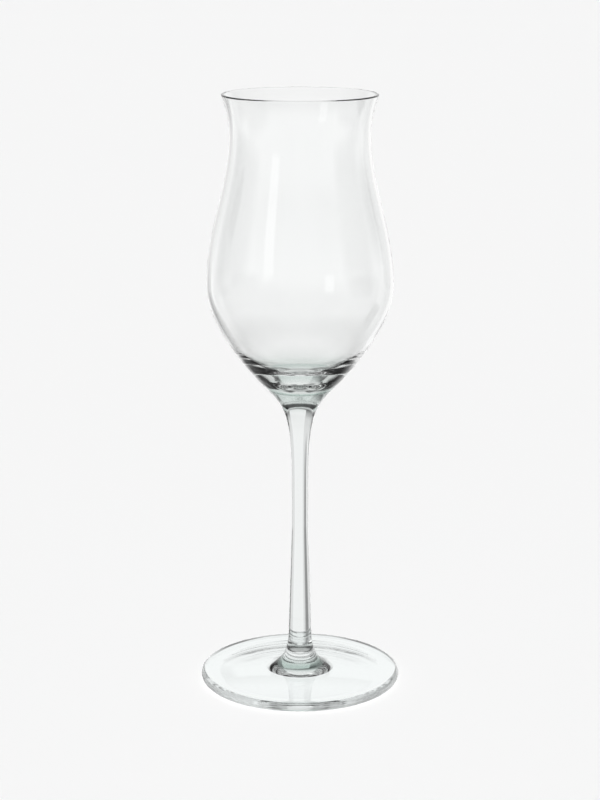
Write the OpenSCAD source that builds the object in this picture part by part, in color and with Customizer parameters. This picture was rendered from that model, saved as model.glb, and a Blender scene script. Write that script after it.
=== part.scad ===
// Stemmed tulip glass for cognac: a blown bowl, a drawn stem and a pressed foot, fused together while hot.
// The axis of the glass is Z and the foot stands on the plane z = 0. Sizes are in millimetres.

/* [Bowl] */
// Outside diameter of the flared rim
rim_diameter = 52.4; // [48:0.2:60]
// Outside diameter of the waist, the narrow part below the rim
waist_diameter = 47.2; // [40:0.2:52]
// Outside diameter of the belly, the widest part of the bowl
belly_diameter = 63.4; // [54:0.2:76]
// Height of the lip, from the waist up to the rim
lip_height = 13.8; // [9:0.2:22]
// Height of the neck, from the belly up to the waist
neck_height = 50.5; // [36:0.5:66]
// Height of the lower bowl, from the stem seam up to the belly
lower_bowl_height = 35.3; // [30:0.1:46]
// Thickness of the blown wall
wall_thickness = 0.9; // [0.7:0.05:1.6]
// Thickness of the solid glass between the hollow and the rounded bottom, on the axis
base_thickness = 4.5; // [3.5:0.1:7]
// Depth of the rounded bottom, which dips below the stem seam
bottom_depth = 3; // [2:0.1:4.5]

/* [Stem] */
// Diameter of the seam between the stem and the bowl
bowl_seam_diameter = 23.8; // [18:0.2:28]
// Slope of the outside at that seam, in degrees from level
bowl_seam_slope = 44.7; // [38:0.1:52]
// Diameter of the stem where it is slimmest
stem_diameter = 5.6; // [4.6:0.1:7.4]
// Diameter of the ankle, where the stem starts to spread over the foot
ankle_diameter = 8; // [7.6:0.1:11]
// Diameter of the seam between the stem and the foot
foot_seam_diameter = 23.8; // [18:0.2:30]
// Slope of the outside at that seam, in degrees from level
foot_seam_slope = 10; // [7:0.5:20]
// Height of the flare from the foot seam up to the ankle
lower_flare_height = 12.2; // [9:0.1:18]
// Length of the slow taper from the ankle up to the slimmest stretch
taper_length = 38.3; // [25:0.1:55]
// Length of the slimmest stretch
slim_length = 13.4; // [5:0.1:30]
// Height of the flare from the slimmest stretch up to the bowl seam
upper_flare_height = 37.6; // [28:0.1:50]

/* [Foot] */
// Outside diameter of the foot
foot_diameter = 69.6; // [60:0.2:82]
// Thickness of the foot at its fully rounded edge
foot_edge_thickness = 3.6; // [2.6:0.1:5]
// How far the top of the foot climbs from its edge to the axis
foot_rise = 0.5; // [0.2:0.1:2.5]
// Width of the flat ring that the foot stands on
rest_width = 4; // [2:0.5:8]
// Depth of the shallow hollow inside that ring
hollow_depth = 1.7; // [0.4:0.1:2.2]

/* [Curve fullness] */
// How far the lower bowl leaves the seam along its slope, as a share of its spread
seam_fullness = 0.36; // [0.2:0.02:0.5]
// How far the lower bowl drops straight below the belly, as a share of its height
belly_fullness = 0.34; // [0.2:0.02:0.5]
// How far the neck climbs straight above the belly, as a share of its height
shoulder_fullness = 0.38; // [0.2:0.02:0.5]
// How far the neck drops straight below the waist, as a share of its height
waist_fullness = 0.34; // [0.2:0.02:0.5]
// Where the thick base starts, as a share of the lower bowl's curve above the seam
base_start = 0.48; // [0.3:0.02:0.6]
// How level the floor of the hollow runs out from the axis, as a share of its half width
floor_fullness = 0.49; // [0.3:0.01:0.6]
// How far the wall runs on into the corner of the floor, as a share of the floor's height
corner_fullness = 0.36; // [0.2:0.01:0.6]

/* [Hidden] */
glass_colour = [0.84, 0.92, 0.91, 0.45];
// Straight steps in one curve, and around the axis
curve_steps = 32;
arc_steps = 12;
$fn = 128;
// Control points of the two flares, as shares of their spread and height
flare_along_slope = 0.84;
flare_up_slim = 0.69;
flare_down_ankle = 0.68;
flare_along_foot = 0.48;
// Height of a lip's single control point, as a share of its height
lip_control = 0.5;

rim_r = rim_diameter / 2;
waist_r = waist_diameter / 2;
belly_r = belly_diameter / 2;
bowl_seam_r = bowl_seam_diameter / 2;
slim_r = stem_diameter / 2;
ankle_r = ankle_diameter / 2;
foot_seam_r = foot_seam_diameter / 2;
foot_r = foot_diameter / 2;
edge_r = foot_edge_thickness / 2;
lip_r = wall_thickness / 2;

// The top of the foot is a shallow cone, so its height follows from the distance to the axis
foot_top_r = foot_r - edge_r;
function foot_top(r) = foot_edge_thickness + foot_rise * (1 - r / foot_top_r);
hollow_r = foot_top_r - rest_width;

foot_seam_z = foot_top(foot_seam_r);
ankle_z = foot_seam_z + lower_flare_height;
slim_low_z = ankle_z + taper_length;
slim_high_z = slim_low_z + slim_length;
bowl_seam_z = slim_high_z + upper_flare_height;
bottom_z = bowl_seam_z - bottom_depth;
floor_z = bottom_z + base_thickness;
belly_z = bowl_seam_z + lower_bowl_height;
waist_z = belly_z + neck_height;
rim_z = waist_z + lip_height;

// A cubic curve through four control points: a point on it, its direction, and a row of points after its start
function curve_point(p, t) =
    pow(1 - t, 3) * p[0] + 3 * t * pow(1 - t, 2) * p[1] + 3 * t * t * (1 - t) * p[2] + pow(t, 3) * p[3];
function curve_direction(p, t) =
    let (d = pow(1 - t, 2) * (p[1] - p[0]) + 2 * t * (1 - t) * (p[2] - p[1]) + t * t * (p[3] - p[2]))
    d / norm(d);
function curve(p) = [for (i = [1 : curve_steps]) curve_point(p, i / curve_steps)];
function reversed(points) = [for (i = [len(points) - 1 : -1 : 0]) points[i]];

// The outside of the lower bowl, from the seam up to the belly
seam_slope = [1, tan(bowl_seam_slope)];
lower_bowl = [
    [bowl_seam_r, bowl_seam_z],
    [bowl_seam_r, bowl_seam_z] + seam_fullness * (belly_r - bowl_seam_r) * seam_slope,
    [belly_r, belly_z - belly_fullness * lower_bowl_height],
    [belly_r, belly_z],
];

// The neck and lip, from the belly up to where the rounded rim starts, drawn in by an inset
function neck(inset) = [
    [belly_r - inset, belly_z],
    [belly_r - inset, belly_z + shoulder_fullness * neck_height],
    [waist_r - inset, waist_z - waist_fullness * neck_height],
    [waist_r - inset, waist_z],
];
function lip(inset) =
    let (start = [waist_r - inset, waist_z],
         end = [rim_r - inset, rim_z - lip_r],
         middle = [waist_r - inset, waist_z + lip_control * lip_height])
    [start, (start + 2 * middle) / 3, (end + 2 * middle) / 3, end];

// The rounded bottom of the bowl, which is also the cup in the top of the stem, from the axis out to the seam
bottom_radius = (pow(bowl_seam_r, 2) + pow(bottom_depth, 2)) / (2 * bottom_depth);
bottom_angle = asin(bowl_seam_r / bottom_radius);
rounded_bottom = [
    for (i = [0 : arc_steps])
        let (a = bottom_angle * i / arc_steps)
        [bottom_radius * sin(a), bottom_z + bottom_radius * (1 - cos(a))]
];

// The inside of the thin wall, one wall thickness in from the outside, from the thick base up to the belly
function inside_wall(t) =
    let (d = curve_direction(lower_bowl, t))
    curve_point(lower_bowl, t) + wall_thickness * [-d[1], d[0]];
thin_wall = [for (i = [1 : curve_steps]) inside_wall(base_start + (1 - base_start) * i / curve_steps)];

// The floor of the hollow, from the axis out to the thin wall
floor_edge = inside_wall(base_start);
floor_height = floor_edge[1] - floor_z;
hollow_floor = [
    [0, floor_z],
    [floor_fullness * floor_edge[0], floor_z],
    floor_edge - corner_fullness * floor_height * curve_direction(lower_bowl, base_start),
    floor_edge,
];

// The round of the rim, over from the outside to the inside
rim_round = [
    for (i = [1 : arc_steps - 1])
        let (a = 180 * i / arc_steps)
        [rim_r - lip_r + lip_r * cos(a), rim_z - lip_r + lip_r * sin(a)]
];

// The blown bowl, with its solid base
module bowl() {
    outside = concat(rounded_bottom, curve(lower_bowl), curve(neck(0)), curve(lip(0)));
    inside = concat(
        [hollow_floor[0]], curve(hollow_floor), thin_wall, curve(neck(wall_thickness)), curve(lip(wall_thickness))
    );
    color(glass_colour)
        rotate_extrude()
            polygon(concat(outside, rim_round, reversed(inside)));
}

// The drawn stem, spread over the foot below and under the bowl above
module stem() {
    ankle = [ankle_r, ankle_z];
    taper = [slim_r, slim_low_z] - ankle;
    foot_seam = [foot_seam_r, foot_seam_z];
    foot_slope = [-1, tan(foot_seam_slope)];
    lower_flare = [
        foot_seam,
        foot_seam + flare_along_foot * (foot_seam_r - ankle_r) * foot_slope,
        ankle - flare_down_ankle * lower_flare_height * taper / taper_length,
        ankle,
    ];
    slim_top = [slim_r, slim_high_z];
    bowl_seam = lower_bowl[0];
    upper_flare = [
        slim_top,
        slim_top + [0, flare_up_slim * upper_flare_height],
        bowl_seam - flare_along_slope * (bowl_seam_r - slim_r) * seam_slope,
        bowl_seam,
    ];
    underside = [[0, foot_top(0)], foot_seam];
    outside = concat(curve(lower_flare), [[slim_r, slim_low_z], slim_top], curve(upper_flare));
    cup = [for (i = [arc_steps - 1 : -1 : 0]) rounded_bottom[i]];
    color(glass_colour)
        rotate_extrude()
            polygon(concat(underside, outside, cup));
}

// The pressed foot, a plate with a round edge and a shallow hollow inside its resting ring
module foot() {
    hollow_radius = (pow(hollow_r, 2) + pow(hollow_depth, 2)) / (2 * hollow_depth);
    hollow_angle = asin(hollow_r / hollow_radius);
    hollow = [
        for (i = [0 : arc_steps])
            let (a = hollow_angle * i / arc_steps)
            [hollow_radius * sin(a), hollow_depth - hollow_radius * (1 - cos(a))]
    ];
    round_edge = [
        for (i = [0 : 2 * arc_steps])
            let (a = -90 + 90 * i / arc_steps)
            [foot_top_r + edge_r * cos(a), edge_r + edge_r * sin(a)]
    ];
    color(glass_colour)
        rotate_extrude()
            polygon(concat(hollow, round_edge, [[0, foot_top(0)]]));
}

bowl();
stem();
foot();
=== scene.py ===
# %% [markdown]
# A stemmed tulip glass. The real one is three gathers of glass, worked hot and fused: a blown bowl, a
# drawn stem and a pressed foot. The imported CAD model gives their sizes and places. Each piece could be
# cut from a block or sculpted, but all three are round, so this lesson draws half of each outline and
# spins it, as on a lathe.

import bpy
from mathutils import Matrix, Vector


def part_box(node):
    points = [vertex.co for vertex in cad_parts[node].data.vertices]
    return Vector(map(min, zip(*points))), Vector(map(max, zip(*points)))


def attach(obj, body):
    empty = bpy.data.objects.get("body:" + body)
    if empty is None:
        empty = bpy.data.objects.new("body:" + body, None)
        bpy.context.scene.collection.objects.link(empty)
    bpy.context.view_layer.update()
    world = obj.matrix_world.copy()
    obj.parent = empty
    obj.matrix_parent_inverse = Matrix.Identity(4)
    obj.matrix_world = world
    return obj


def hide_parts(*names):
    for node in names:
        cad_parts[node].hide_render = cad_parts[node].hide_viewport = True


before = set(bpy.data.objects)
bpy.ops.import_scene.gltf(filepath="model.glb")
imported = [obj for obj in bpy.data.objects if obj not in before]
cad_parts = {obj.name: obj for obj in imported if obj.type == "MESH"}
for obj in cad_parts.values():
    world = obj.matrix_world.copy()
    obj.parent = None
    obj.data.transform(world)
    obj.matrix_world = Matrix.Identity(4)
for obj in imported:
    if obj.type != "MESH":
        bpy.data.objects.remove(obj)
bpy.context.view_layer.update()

# %% [markdown]
# The sizes come first, because every curve below hangs on them. The corners of the CAD pieces give the
# heights of the seams, the belly's radius and the foot's radius. The few sizes that no corner shows are
# written down here.

# %% Sizes of the glass, in metres
import math

import bpy
from mathutils import Vector

MM = 0.001
bowl_low, bowl_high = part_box("bowl")
stem_low, stem_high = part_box("stem")
foot_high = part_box("foot")[1]
rim_z = bowl_high.z
bottom_z = bowl_low.z
belly_r = bowl_high.x
bowl_seam_z = stem_high.z
foot_seam_z = stem_low.z
seam_r = stem_high.x
foot_r = foot_high.x
crown_z = foot_high.z

rim_r = 26.2 * MM
waist_r = 23.6 * MM
slim_r = 2.8 * MM
ankle_r = 4.0 * MM
edge_r = 1.8 * MM
lip_height = 13.8 * MM
lower_bowl_height = 35.3 * MM
wall = 0.9 * MM
base_thickness = 4.5 * MM
upper_flare_height = 37.6 * MM
taper_length = 38.3 * MM
lower_flare_height = 12.2 * MM
rest_width = 4.0 * MM
hollow_depth = 1.7 * MM
bowl_seam_slope = math.radians(44.7)
foot_seam_slope = math.radians(10)

belly_z = bowl_seam_z + lower_bowl_height
waist_z = rim_z - lip_height
floor_z = bottom_z + base_thickness
ankle_z = foot_seam_z + lower_flare_height
slim_low_z = ankle_z + taper_length
slim_high_z = bowl_seam_z - upper_flare_height
heights = {"rim": rim_z, "belly": belly_z, "bowl seam": bowl_seam_z, "foot seam": foot_seam_z}
for place, z in heights.items():
    print("Height of the", place, "in metres:", round(z, 4))

# %% [markdown]
# The camera stands where the photograph was taken from: almost 0.7 m in front of the glass, a little
# above the rim and tipped down. A long lens keeps the tall shape calm. The picture is 600 by 800, so
# the lens is worked out from its focal length in picture rows.

# %% Camera
PICTURE_ROWS = 800
FOCAL_ROWS = 2066.1
CAMERA_DISTANCE = 688.7 * MM
CAMERA_HEIGHT = 268.6 * MM
CAMERA_TIP = math.radians(13.71)
NEAREST_SEEN = 10 * MM

camera_data = bpy.data.cameras.new("camera")
camera_data.lens = FOCAL_ROWS * camera_data.sensor_width / PICTURE_ROWS
camera_data.clip_start = NEAREST_SEEN
camera = bpy.data.objects.new("camera", camera_data)
camera.location = (0, -CAMERA_DISTANCE, CAMERA_HEIGHT)
camera.rotation_euler = (math.pi / 2 - CAMERA_TIP, 0, 0)
bpy.context.scene.collection.objects.link(camera)
bpy.context.scene.camera = camera
print("Lens in millimetres:", round(camera_data.lens, 2))

# %% [markdown]
# A glassmaker reads a glass by its outline. It could be a row of many points, but a Bezier spline needs
# only a few knots: each knot has a point and two handles that set the direction and fullness of the
# curve on either side. The spline lies in the XZ plane and is then converted to a row of edges.

# %% Drawing an outline
CURVE_STEPS = 24


def knot(point, before=None, after=None):
    """A knot of the outline at (radius, height), with its handle before and after it."""
    return point, before or point, after or point


def draw_outline(name, knots):
    """One open Bezier spline in the XZ plane, turned into a row of edges."""
    bpy.ops.object.select_all(action="DESELECT")
    bpy.ops.curve.primitive_bezier_curve_add(location=(0, 0, 0))
    drawing = bpy.context.object
    drawing.name = name
    drawing.data.resolution_u = CURVE_STEPS
    marks = drawing.data.splines[0].bezier_points
    marks.add(len(knots) - len(marks))
    for mark, (point, before, after) in zip(marks, knots):
        mark.handle_left_type = mark.handle_right_type = "FREE"
        mark.co = (point[0], 0, point[1])
        mark.handle_left = (before[0], 0, before[1])
        mark.handle_right = (after[0], 0, after[1])
    bpy.ops.object.convert(target="MESH")
    print(name, "outline has", len(bpy.context.object.data.vertices), "points")
    return bpy.context.object


def arc_handle(radius, angle):
    """The handle length with which one cubic curve follows an arc."""
    return 4 / 3 * math.tan(angle / 4) * radius


# %% [markdown]
# All three pieces are turned while the glass is soft, so they are true solids of revolution. The Screw
# modifier could turn the outline too, but the spin operator makes plain faces at once. The mesh is
# welded where the turn closes and at the poles, and its normals are made to point outwards, because
# light bends by them.

# %% Spinning an outline
SPIN_STEPS = 192
WELD = 0.001 * MM
SMOOTH_BELOW = math.radians(12)


def spin_outline(piece):
    """Spins the row of edges once round Z and closes it."""
    bpy.ops.object.mode_set(mode="EDIT")
    bpy.ops.mesh.select_all(action="SELECT")
    bpy.ops.mesh.spin(steps=SPIN_STEPS, angle=2 * math.pi, center=(0, 0, 0), axis=(0, 0, 1))
    bpy.ops.mesh.select_all(action="SELECT")
    bpy.ops.mesh.remove_doubles(threshold=WELD)
    bpy.ops.mesh.normals_make_consistent(inside=False)
    bpy.ops.object.mode_set(mode="OBJECT")
    bpy.ops.object.shade_smooth_by_angle(angle=SMOOTH_BELOW)
    piece.data.name = piece.name
    print(piece.name, "has", len(piece.data.polygons), "faces")
    return piece


# %% [markdown]
# The bowl's outside leaves the seam along the slope of the stem, rounds the belly, draws in at the
# waist and flares to the rim. The rim is a half round, as fire polishing leaves it. Fullness is the
# length of a handle as a share of the stretch that it bends, so the curve keeps its character when a
# size changes. The lip bends round a single middle point, so each of its handles reaches two thirds of
# the way to that point.

# %% Outside of the bowl
SEAM_FULLNESS = 0.36
BELLY_FULLNESS = 0.34
SHOULDER_FULLNESS = 0.38
WAIST_FULLNESS = 0.34
LIP_CONTROL = 0.5
TO_MIDDLE = 2 / 3

up = Vector((0, 1))
seam = Vector((seam_r, bowl_seam_z))
belly = Vector((belly_r, belly_z))
waist = Vector((waist_r, waist_z))
lip_r = wall / 2
rim = Vector((rim_r, rim_z - lip_r))
lip_middle = Vector((waist_r, waist_z + LIP_CONTROL * (rim_z - waist_z)))
slope = Vector((1, math.tan(bowl_seam_slope)))
below_belly = BELLY_FULLNESS * (belly_z - bowl_seam_z) * up
above_belly = SHOULDER_FULLNESS * (waist_z - belly_z) * up
below_waist = WAIST_FULLNESS * (waist_z - belly_z) * up
above_waist = waist.lerp(lip_middle, TO_MIDDLE)
below_rim = rim.lerp(lip_middle, TO_MIDDLE)
above_seam = seam + SEAM_FULLNESS * (belly_r - seam_r) * slope
lower_bowl = [seam, above_seam, belly - below_belly, belly]
print("Belly to rim, radius in metres:", round(belly_r, 4), "to", round(rim_r, 4))

# %% [markdown]
# The inside follows one wall thickness in, until the wall thickens to the solid base. A Solidify
# modifier would give an even wall, but not that thick base, which is what bends the light so strongly
# under the hollow. So the lower inside is split from the outside curve, moved in along its normal and
# led over to a nearly level floor.

# %% Inside and base of the bowl
BASE_START = 0.48
FLOOR_FULLNESS = 0.49
CORNER_FULLNESS = 0.36


def split_after(curve, t):
    """The control points of the part of a cubic curve that lies after t."""
    a = [p.lerp(q, t) for p, q in zip(curve, curve[1:])]
    b = [p.lerp(q, t) for p, q in zip(a, a[1:])]
    return [b[0].lerp(b[1], t), b[1], a[2], curve[3]]


inward = Vector((-wall, 0))
wall_curve = split_after(lower_bowl, BASE_START)
wall_handle = wall_curve[1] - wall_curve[0]
wall_way = wall_handle.normalized()
floor_edge = wall_curve[0] + wall * Vector((-wall_way.y, wall_way.x))
corner = CORNER_FULLNESS * (floor_edge.y - floor_z) * wall_way
bottom_depth = bowl_seam_z - bottom_z
bottom_radius = (seam_r**2 + bottom_depth**2) / (2 * bottom_depth)
bottom_angle = math.asin(seam_r / bottom_radius)
bottom_handle = arc_handle(bottom_radius, bottom_angle)
bottom_pole = Vector((0, bottom_z))
bottom_side = bottom_pole + Vector((bottom_handle, 0))
under_seam = seam - bottom_handle * Vector((math.cos(bottom_angle), math.sin(bottom_angle)))
print("The thick base starts at", round(floor_edge.y, 4), "and its floor lies at", round(floor_z, 4))

# %% [markdown]
# Now the knots are set one after another: from the pole of the rounded bottom up the outside, over the
# rim and down the inside to the floor. One closed outline makes one closed solid, which bends light as
# a real wall does.

# %% The blown bowl
round_handle = arc_handle(lip_r, math.pi / 2)
rim_top = Vector((rim_r - lip_r, rim_z))
over_rim = Vector((round_handle, 0))
bowl_knots = [
    knot(bottom_pole, after=bottom_side),
    knot(seam, under_seam, lower_bowl[1]),
    knot(belly, lower_bowl[2], belly + above_belly),
    knot(waist, waist - below_waist, above_waist),
    knot(rim, below_rim, rim + round_handle * up),
    knot(rim_top, rim_top + over_rim, rim_top - over_rim),
    knot(rim + inward, rim + inward + round_handle * up, below_rim + inward),
    knot(waist + inward, above_waist + inward, waist + inward - below_waist),
    knot(belly + inward, belly + inward + above_belly, wall_curve[2] + inward),
    knot(floor_edge, floor_edge + wall_handle, floor_edge - corner),
    knot((0, floor_z), (FLOOR_FULLNESS * floor_edge.x, floor_z)),
]
bowl = spin_outline(draw_outline("blown_bowl", bowl_knots))

# %% [markdown]
# The stem is drawn out of a gather stuck under the bowl. Its top is a cup that takes the bowl's rounded
# bottom, it slims to a rod, thickens slowly to an ankle and spreads over the foot like a skirt. Its two
# ends use the very points of the bowl's bottom and of the foot's top, so the pieces meet with no gap.

# %% The drawn stem
FLARE_ALONG_SLOPE = 0.84
FLARE_UP_SLIM = 0.69
FLARE_DOWN_ANKLE = 0.68
FLARE_ALONG_FOOT = 0.48

foot_seam = Vector((seam_r, foot_seam_z))
ankle = Vector((ankle_r, ankle_z))
slim_low = Vector((slim_r, slim_low_z))
slim_high = Vector((slim_r, slim_high_z))
taper = (slim_low - ankle) / (slim_low_z - ankle_z)
skirt_way = Vector((-1, math.tan(foot_seam_slope)))
stem_knots = [
    knot((0, crown_z)),
    knot(foot_seam, after=foot_seam + FLARE_ALONG_FOOT * (seam_r - ankle_r) * skirt_way),
    knot(ankle, ankle - FLARE_DOWN_ANKLE * (ankle_z - foot_seam_z) * taper),
    knot(slim_low),
    knot(slim_high, after=slim_high + FLARE_UP_SLIM * (bowl_seam_z - slim_high_z) * up),
    knot(seam, seam - FLARE_ALONG_SLOPE * (seam_r - slim_r) * slope, under_seam),
    knot(bottom_pole, bottom_side),
]
stem = spin_outline(draw_outline("drawn_stem", stem_knots))

# %% [markdown]
# The foot is a pressed plate: a shallow cone on top, a fully rounded edge, a flat ring to stand on and a
# slight hollow inside that ring, so that the glass doesn't rock. A squashed cylinder would give the
# plate, but not the soft edge and the hollow that draw the bright and dark rings in it.

# %% The pressed foot
top_r = foot_r - edge_r
hollow_r = top_r - rest_width
hollow_radius = (hollow_r**2 + hollow_depth**2) / (2 * hollow_depth)
hollow_angle = math.asin(hollow_r / hollow_radius)
hollow_handle = arc_handle(hollow_radius, hollow_angle)
edge_handle = arc_handle(edge_r, math.pi / 2)
hollow_pole = Vector((0, hollow_depth))
hollow_edge = Vector((hollow_r, 0))
hollow_way = Vector((-math.cos(hollow_angle), math.sin(hollow_angle)))
rest_edge = Vector((top_r, 0))
edge = Vector((foot_r, edge_r))
top_edge = Vector((top_r, 2 * edge_r))
foot_knots = [
    knot(hollow_pole, after=hollow_pole + Vector((hollow_handle, 0))),
    knot(hollow_edge, hollow_edge + hollow_handle * hollow_way),
    knot(rest_edge, after=rest_edge + Vector((edge_handle, 0))),
    knot(edge, edge - edge_handle * up, edge + edge_handle * up),
    knot(top_edge, top_edge + Vector((edge_handle, 0))),
    knot(foot_seam),
    knot((0, crown_z)),
]
foot = spin_outline(draw_outline("pressed_foot", foot_knots))

# %% [markdown]
# Materials are node trees. The same few kinds of node come back again and again below, so these helpers
# add one, fill its inputs with numbers or with other nodes' outputs, and hand back its result.

# %% Helpers for nodes
def feed(tree, socket, value):
    """Fills an input with a plain value, or links it to another node's output."""
    if isinstance(value, bpy.types.NodeSocket):
        tree.links.new(value, socket)
    else:
        socket.default_value = value


def maths(tree, operation, *values, vector=False):
    """A Math or Vector Math node."""
    node = tree.nodes.new("ShaderNodeVectorMath" if vector else "ShaderNodeMath")
    node.operation = operation
    for socket, value in zip(node.inputs, values):
        feed(tree, socket, value)
    return node.outputs["Value"] if operation == "LENGTH" else node.outputs[0]


def span(tree, value, start, end, first=0.0, last=1.0, smooth=False):
    """A Map Range node that takes start to first and end to last."""
    node = tree.nodes.new("ShaderNodeMapRange")
    node.interpolation_type = "SMOOTHSTEP" if smooth else "LINEAR"
    feed(tree, node.inputs["Value"], value)
    feed(tree, node.inputs["From Min"], start)
    feed(tree, node.inputs["From Max"], end)
    feed(tree, node.inputs["To Min"], first)
    feed(tree, node.inputs["To Max"], last)
    return node.outputs[0]


def new_group(name, takes, gives):
    """An empty shader group with named sockets, and its two end nodes."""
    group = bpy.data.node_groups.new(name, "ShaderNodeTree")
    for way, sockets in (("INPUT", takes), ("OUTPUT", gives)):
        for socket, kind in sockets.items():
            group.interface.new_socket(socket, in_out=way, socket_type="NodeSocket" + kind)
    print("Group", name, "takes", list(takes), "and gives", list(gives))
    come = group.nodes.new("NodeGroupInput").outputs
    go = group.nodes.new("NodeGroupOutput").inputs
    return group, come, go


# %% [markdown]
# Hot-worked glass is clear, but not flat: the surface keeps slow waves from the tools, its polish
# changes a little from place to place, and thick glass shows a cool green that a thin wall hides. A flat
# shader would lose all of that, and a volume shader would be lost in an exported model. So one node
# group mixes a thin and a thick tint by a mask, and adds uneven cords, a breath of haze and a height for
# the waves. The thick tint is partly the green of the glass and partly painted shade, much darker, which
# stands in for the dark that thick glass bends in from the room.

# %% Worked glass
CORD_SHARE = 0.02
HAZE_SCALE = 45.0
HAZE_ROUGHNESS = 0.012


def worked_glass():
    """Tint with painted shade, roughness and wave height of glass that was shaped hot."""
    takes = {"Thin": "Color", "Thick and shade": "Color", "Depth": "Float", "Cords": "Vector"}
    gives = {"Tint": "Color", "Roughness": "Float", "Waves": "Float"}
    group, come, go = new_group("worked_glass", takes, gives)
    place = group.nodes.new("ShaderNodeTexCoord").outputs["Object"]
    cords = group.nodes.new("ShaderNodeTexNoise")
    feed(group, cords.inputs["Scale"], 1.0)
    feed(group, cords.inputs["Vector"], maths(group, "MULTIPLY", place, come["Cords"], vector=True))
    haze = group.nodes.new("ShaderNodeTexNoise")
    feed(group, haze.inputs["Scale"], HAZE_SCALE)
    feed(group, haze.inputs["Vector"], place)
    uneven = span(group, cords.outputs["Fac"], 0.0, 1.0, -CORD_SHARE, CORD_SHARE)
    tint_and_shade = group.nodes.new("ShaderNodeMix")
    tint_and_shade.data_type = "RGBA"
    feed(group, tint_and_shade.inputs["Factor"], maths(group, "ADD", come["Depth"], uneven))
    feed(group, tint_and_shade.inputs["A"], come["Thin"])
    feed(group, tint_and_shade.inputs["B"], come["Thick and shade"])
    feed(group, go["Tint"], tint_and_shade.outputs["Result"])
    feed(group, go["Roughness"], span(group, haze.outputs["Fac"], 0.0, 1.0, 0.0, HAZE_ROUGHNESS))
    feed(group, go["Waves"], cords.outputs["Fac"])
    return group


glass_finish = worked_glass()

# %% [markdown]
# Where the glass is thick follows from its shape, so the mask for its tint and its painted shade can be
# drawn by distance: strongest at one height or radius, and fading out evenly to both sides.

# %% Thick zones with painted shade
def thick_shade_zone():
    """A mask that is 1 at the middle of a zone and fades to 0 at its reach."""
    takes = {"Measure": "Float", "Middle": "Float", "Reach": "Float"}
    group, come, go = new_group("thick_shade_zone", takes, {"Mask": "Float"})
    away = maths(group, "ABSOLUTE", maths(group, "SUBTRACT", come["Measure"], come["Middle"]))
    feed(group, go["Mask"], span(group, away, come["Reach"], 0.0, smooth=True))
    return group


thick_shade_mask = thick_shade_zone()


def height(tree, place):
    """The upright part of a place: its height above the table."""
    axes = tree.nodes.new("ShaderNodeSeparateXYZ")
    feed(tree, axes.inputs[0], place)
    return axes.outputs["Z"]


def radius(tree, place):
    """Distance from the axis of the glass."""
    level_place = maths(tree, "MULTIPLY", place, (1, 1, 0), vector=True)
    return maths(tree, "LENGTH", level_place, vector=True)


# %% [markdown]
# Each piece was shaped in another way, so each gets its own material round those two groups. One
# function builds all three. Full transmission and an index of refraction of 1.52 make a Principled
# shader into soda glass, and a bump node turns the slow waves into bent normals.

# %% Hot glass
GLASS_INDEX = 1.52
WAVE_HEIGHT = 0.01 * MM


def hot_glass(name, thin, thick_tint_and_shade, cords, zones):
    """Clear glass, with painted shade in its thick zones. Cords is how often its unevenness repeats in a
    metre along X, Y and Z.
    """
    material = bpy.data.materials.new(name)
    material.use_nodes = True
    tree = material.node_tree
    place = tree.nodes.new("ShaderNodeTexCoord").outputs["Object"]
    shade_depth = None
    for measure, middle, reach in zones:
        zone = tree.nodes.new("ShaderNodeGroup")
        zone.node_tree = thick_shade_mask
        for socket, value in zip(zone.inputs, (measure(tree, place), middle, reach)):
            feed(tree, socket, value)
        mask = zone.outputs["Mask"]
        shade_depth = maths(tree, "MAXIMUM", shade_depth, mask) if shade_depth else mask
    finish = tree.nodes.new("ShaderNodeGroup")
    finish.node_tree = glass_finish
    for socket, value in zip(finish.inputs, (thin, thick_tint_and_shade, shade_depth, cords)):
        feed(tree, socket, value)
    waves = tree.nodes.new("ShaderNodeBump")
    feed(tree, waves.inputs["Distance"], WAVE_HEIGHT)
    feed(tree, waves.inputs["Height"], finish.outputs["Waves"])
    shader = tree.nodes["Principled BSDF"].inputs
    feed(tree, shader["Base Color"], finish.outputs["Tint"])
    feed(tree, shader["Roughness"], finish.outputs["Roughness"])
    feed(tree, shader["Normal"], waves.outputs["Normal"])
    shader["IOR"].default_value = GLASS_INDEX
    shader["Transmission Weight"].default_value = 1.0
    print(name, "has", len(tree.nodes), "nodes")
    return material


# %% [markdown]
# The blown bowl thickens under its hollow, the drawn stem has cords along its length and is thick at
# both flares, and the pressed foot is thick in its middle. The thick tints are far darker than the green
# of thick glass: they are also painted shade, for the dark crescents of the base, the flares, the skirt
# and the middle of the foot. A zone is what it measures, where its middle lies and how far it reaches.

# %% Blown, drawn and pressed glass
WALL_TINT = (0.99, 0.996, 0.994, 1)
# The thick tints below are partly the green of thick glass and partly painted shade.
BASE_TINT_AND_SHADE = (0.76, 0.81, 0.785, 1)
ROD_TINT = (0.905, 0.925, 0.92, 1)
FLARE_TINT_AND_SHADE = (0.48, 0.59, 0.55, 1)
PLATE_TINT = (0.93, 0.965, 0.96, 1)
CROWN_TINT_AND_SHADE = (0.55, 0.65, 0.61, 1)
BLOWN_CORDS = (60, 60, 12)
DRAWN_CORDS = (160, 160, 14)
PRESSED_CORDS = (70, 70, 70)
BASE_REACH = 9 * MM
FLARE_REACH = 9 * MM
SKIRT_RISE = 2.5 * MM
SKIRT_REACH = 3 * MM
CROWN_REACH = 10 * MM

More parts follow.
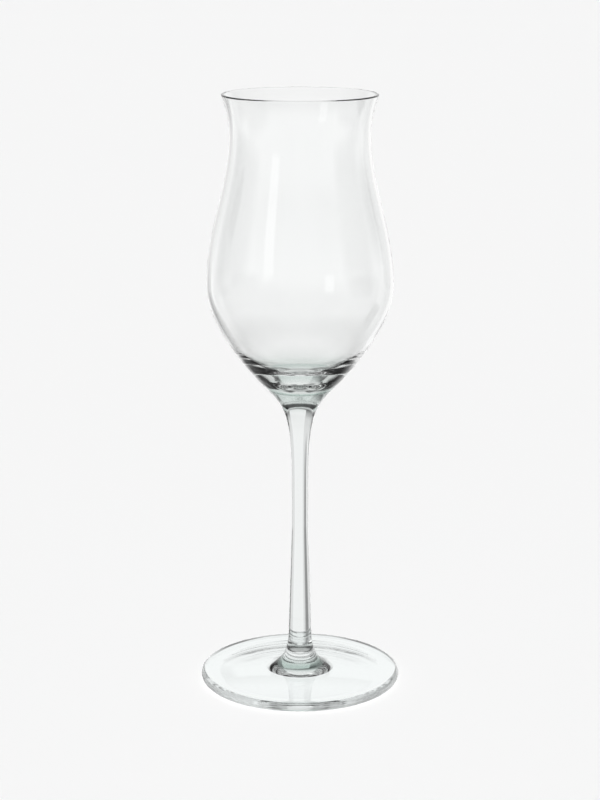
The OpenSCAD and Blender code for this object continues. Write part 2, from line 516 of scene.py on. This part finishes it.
# The zones where painted shade and the green of thick glass darken the glass.
base_shade_zone = (height, floor_z, BASE_REACH)
flare_shade_zone = (height, bowl_seam_z, FLARE_REACH)
skirt_shade_zone = (height, foot_seam_z + SKIRT_RISE, SKIRT_REACH)
crown_shade_zone = (radius, 0.0, CROWN_REACH)
blown = hot_glass("blown_glass", WALL_TINT, BASE_TINT_AND_SHADE, BLOWN_CORDS, [base_shade_zone])
drawn = hot_glass("drawn_glass", ROD_TINT, FLARE_TINT_AND_SHADE, DRAWN_CORDS, [flare_shade_zone, skirt_shade_zone])
pressed = hot_glass("pressed_glass", PLATE_TINT, CROWN_TINT_AND_SHADE, PRESSED_CORDS, [crown_shade_zone])

# %% [markdown]
# Where two gathers were fused there is no surface any more, so light goes straight through. The pieces
# could be joined to one mesh, but then they would no longer be separate. So they stay three closed
# meshes, and the faces where they touch get a material that isn't seen at all.

# %% Fused joints
joint = bpy.data.materials.new("fused_joint")
joint.use_nodes = True
joint.node_tree.nodes["Principled BSDF"].inputs["Alpha"].default_value = 0.0


def dress(piece, node, glass, at_joint):
    """Gives a piece its glass, hides its fused faces and lets it stand for its CAD node."""
    piece.data.materials.append(glass)
    piece.data.materials.append(joint)
    for face in piece.data.polygons:
        if at_joint(face):
            face.material_index = 1
    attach(piece, "root")
    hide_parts(node)
    print(piece.name, "fused faces:", sum(face.material_index for face in piece.data.polygons))


def bowl_joint(face):
    """The faces of the bowl's rounded bottom."""
    return face.center.z < bowl_seam_z


def stem_joint(face):
    """The faces of the stem in its cup and on the foot."""
    in_cup = face.center.z > bottom_z and face.normal.z > 0
    on_foot = face.center.z < ankle_z and face.normal.z < 0
    return in_cup or on_foot


def foot_joint(face):
    """The faces of the foot under the stem's skirt."""
    return face.center.xy.length < seam_r and face.normal.z > 0


dress(bowl, "bowl", blown, bowl_joint)
dress(stem, "stem", drawn, stem_joint)
dress(foot, "foot", pressed, foot_joint)

# %% [markdown]
# The stage is a wide floor of pale paper. The photograph shows no shadow on it, so its light casts none.
# Glass would show the paper as one flat white, so the floor is left out of what the glass bends and
# mirrors: that is the rig's job.

# %% Pale floor
FLOOR_SIZE = 40.0
FLOOR_DROP = 0.1 * MM
PAPER = 0.9

bpy.ops.object.select_all(action="DESELECT")
bpy.ops.mesh.primitive_plane_add(size=FLOOR_SIZE, location=(0, 0, -FLOOR_DROP))
floor = bpy.context.object
floor.name = "floor"
floor.visible_transmission = False
floor.visible_glossy = False
paper = bpy.data.materials.new("pale_paper")
paper.use_nodes = True
paper_shader = paper.node_tree.nodes["Principled BSDF"].inputs
paper_shader["Base Color"].default_value = (PAPER, PAPER, PAPER, 1)
paper_shader["Roughness"].default_value = 1.0
paper_shader["Specular IOR Level"].default_value = 0.0
floor.data.materials.append(paper)
print("Floor of", FLOOR_SIZE, "m, paper white", PAPER)

# %% [markdown]
# One sun lights the paper evenly and nothing else. Its strength is worked out so that the paper comes
# out at the level of the photograph's background. Light inside glass bounces many times, so the limit on
# bounces is raised.

# %% Even light on the floor
FLOOR_LEVEL = 0.924
LIGHT_BOUNCES = 32

sun = bpy.data.lights.new("soft_sun", "SUN")
sun.energy = FLOOR_LEVEL / PAPER * math.pi
sun.angle = 0
sun.use_shadow = False
soft_sun = bpy.data.objects.new("soft_sun", sun)
soft_sun.visible_glossy = False
soft_sun.visible_transmission = False
bpy.context.scene.collection.objects.link(soft_sun)
cycles = bpy.context.scene.cycles
cycles.max_bounces = cycles.transmission_bounces = cycles.glossy_bounces = LIGHT_BOUNCES
bpy.context.scene.view_settings.view_transform = "Standard"
print("Sun strength:", round(sun.energy, 3))

# %% [markdown]
# Clear glass has hardly any colour of its own: it shows what stands round it, bent and mirrored. The
# room is bright near the horizon, dark above and in a band below, and half bright underneath. A thick
# base gathers light from above and below, and only dark parts of the room give it crisp dark crescents.
# The list gives the level of the room at some angles above the horizon, in degrees, and a ramp from
# straight down to straight up joins them. The picture's own background stays at the level of the paper.

# %% Room round the glass
ROOM = {-64: 0.5, -54: 0.1, -44: 0.1, -31: 0.79, 6: 0.79, 28: 0.08}

world = bpy.data.worlds.new("studio")
bpy.context.scene.world = world
world.use_nodes = True
world.cycles_visibility.diffuse = False
tree = world.node_tree
way = tree.nodes.new("ShaderNodeTexCoord").outputs["Generated"]
angle = maths(tree, "ARCSINE", height(tree, way))
ramp = tree.nodes.new("ShaderNodeValToRGB")
feed(tree, ramp.inputs["Fac"], span(tree, angle, -math.pi / 2, math.pi / 2))
stops = ramp.color_ramp.elements
stops.remove(stops[0])
for degrees, level in ROOM.items():
    stops.new(0.5 + degrees / 180).color = (level, level, level, 1)
stops.remove(stops[-1])
backdrop = tree.nodes.new("ShaderNodeMix")
backdrop.data_type = "RGBA"
feed(tree, backdrop.inputs["Factor"], tree.nodes.new("ShaderNodeLightPath").outputs["Is Camera Ray"])
feed(tree, backdrop.inputs["A"], ramp.outputs["Color"])
feed(tree, backdrop.inputs["B"], (FLOOR_LEVEL, FLOOR_LEVEL, FLOOR_LEVEL, 1))
feed(tree, tree.nodes["Background"].inputs["Color"], backdrop.outputs["Result"])
print("Room levels from low to high:", list(ROOM.values()))

# %% [markdown]
# In that room hang soft panels, as a photographer of glassware sets them: a bright window behind the
# glass, dark cards at its sides that draw its edges, and narrow lamps for the highlights. Area lamps
# would add up where they overlap, so each panel is a plane that glows and hides what is behind it, and
# fades out towards its edges.

# %% Soft panels
def soft_panel():
    """A mask that fades a panel out towards its edges. Soft is the faded share of its half width."""
    group, come, go = new_group("soft_panel", {"Soft": "Float"}, {"Mask": "Float"})
    axes = group.nodes.new("ShaderNodeSeparateXYZ")
    feed(group, axes.inputs[0], group.nodes.new("ShaderNodeTexCoord").outputs["UV"])
    fades = []
    for axis in "XY":
        from_edge = maths(group, "MULTIPLY", maths(group, "PINGPONG", axes.outputs[axis], 0.5), 2.0)
        fades.append(span(group, from_edge, 0.0, come["Soft"], smooth=True))
    feed(group, go["Mask"], maths(group, "MULTIPLY", *fades))
    return group


panel_mask = soft_panel()


def glow(name, level, soft):
    """Light of one level, faded out towards the panel's edges."""
    material = bpy.data.materials.new(name)
    material.use_nodes = True
    tree = material.node_tree
    fade = tree.nodes.new("ShaderNodeGroup")
    fade.node_tree = panel_mask
    fade.inputs["Soft"].default_value = soft
    shader = tree.nodes["Principled BSDF"].inputs
    shader["Base Color"].default_value = (0, 0, 0, 1)
    shader["Specular IOR Level"].default_value = 0.0
    shader["Emission Color"].default_value = (1, 1, 1, 1)
    shader["Emission Strength"].default_value = level
    feed(tree, shader["Alpha"], fade.outputs["Mask"])
    return material


# %% [markdown]
# The panels hang on the camera, as in a studio with a turntable: the glass turns, while lens and lamps
# keep their places. A panel's place is given as a turn and a tilt in degrees, seen from the glass and
# starting straight behind it. Its half width and half height are shares of its distance in metres.

# %% Hanging a panel
GLASS_DISTANCE = 708 * MM
glass_ahead = Vector((0, 0, -GLASS_DISTANCE))


def hang(name, distance, turn, tilt, width, tall, level, soft):
    """Adds one soft panel and hangs it on the camera, facing the glass."""
    bpy.ops.object.select_all(action="DESELECT")
    bpy.ops.mesh.primitive_plane_add(size=2 * distance)
    panel = bpy.context.object
    panel.name = name
    panel.data.materials.append(glow(name, level, soft))
    turn, tilt = math.radians(turn), math.radians(tilt)
    aside = math.sin(turn) * math.cos(tilt)
    behind = math.cos(turn) * math.cos(tilt)
    panel.parent = camera
    panel.location = glass_ahead + distance * Vector((aside, math.sin(tilt), -behind))
    panel.rotation_euler = (tilt, -turn, 0)
    panel.scale = (width, tall, 1)
    panel.visible_camera = panel.visible_diffuse = panel.visible_shadow = False
    print("Panel", name, "at level", level)


# %% [markdown]
# First the large soft ones, which everything else hangs in front of: a wall behind the camera, a light
# above and the window behind the glass, with a small extra window low down that clears the back of the
# foot.

# %% Bright panels
hang("front_wall", distance=3.0, turn=-176, tilt=-22, width=1.6, tall=1.25, level=0.72, soft=1.0)
hang("top_light", distance=2.9, turn=0, tilt=65, width=1.6, tall=0.5, level=0.95, soft=0.65)
hang("window", distance=2.5, turn=9, tilt=11, width=0.46, tall=0.64, level=0.975, soft=0.1)
hang("low_window", distance=2.45, turn=0, tilt=-32, width=0.2, tall=0.3, level=0.9, soft=0.5)

# %% [markdown]
# Dark cards stand at both sides. The black ones darken the crescents of the thick base, and the grey
# ones draw the thin line on one side of the stem and the broad one on the other.

# %% Dark cards
hang("right_card", distance=2.8, turn=102, tilt=17, width=0.58, tall=0.66, level=0.0, soft=0.6)
hang("right_side", distance=2.75, turn=67, tilt=23, width=0.32, tall=0.4, level=0.0, soft=0.7)
hang("left_card", distance=2.7, turn=-85, tilt=17, width=0.72, tall=0.52, level=0.0, soft=0.6)
hang("left_grey", distance=2.6, turn=-31, tilt=-20, width=0.25, tall=0.56, level=0.25, soft=0.7)
hang("right_grey", distance=2.6, turn=60, tilt=-22, width=0.18, tall=0.2, level=0.15, soft=0.5)

# %% [markdown]
# Last come the highlights: a strip in front at the left, which runs down the bowl as one long soft
# streak, and a slim lamp behind the glass at the left, for a fainter glint.

# %% Highlights
hang("strip_light", distance=2.4, turn=-141, tilt=3, width=0.15, tall=0.28, level=1.4, soft=0.5)
hang("far_light", distance=2.3, turn=-42, tilt=-2, width=0.06, tall=0.24, level=1.3, soft=0.8)
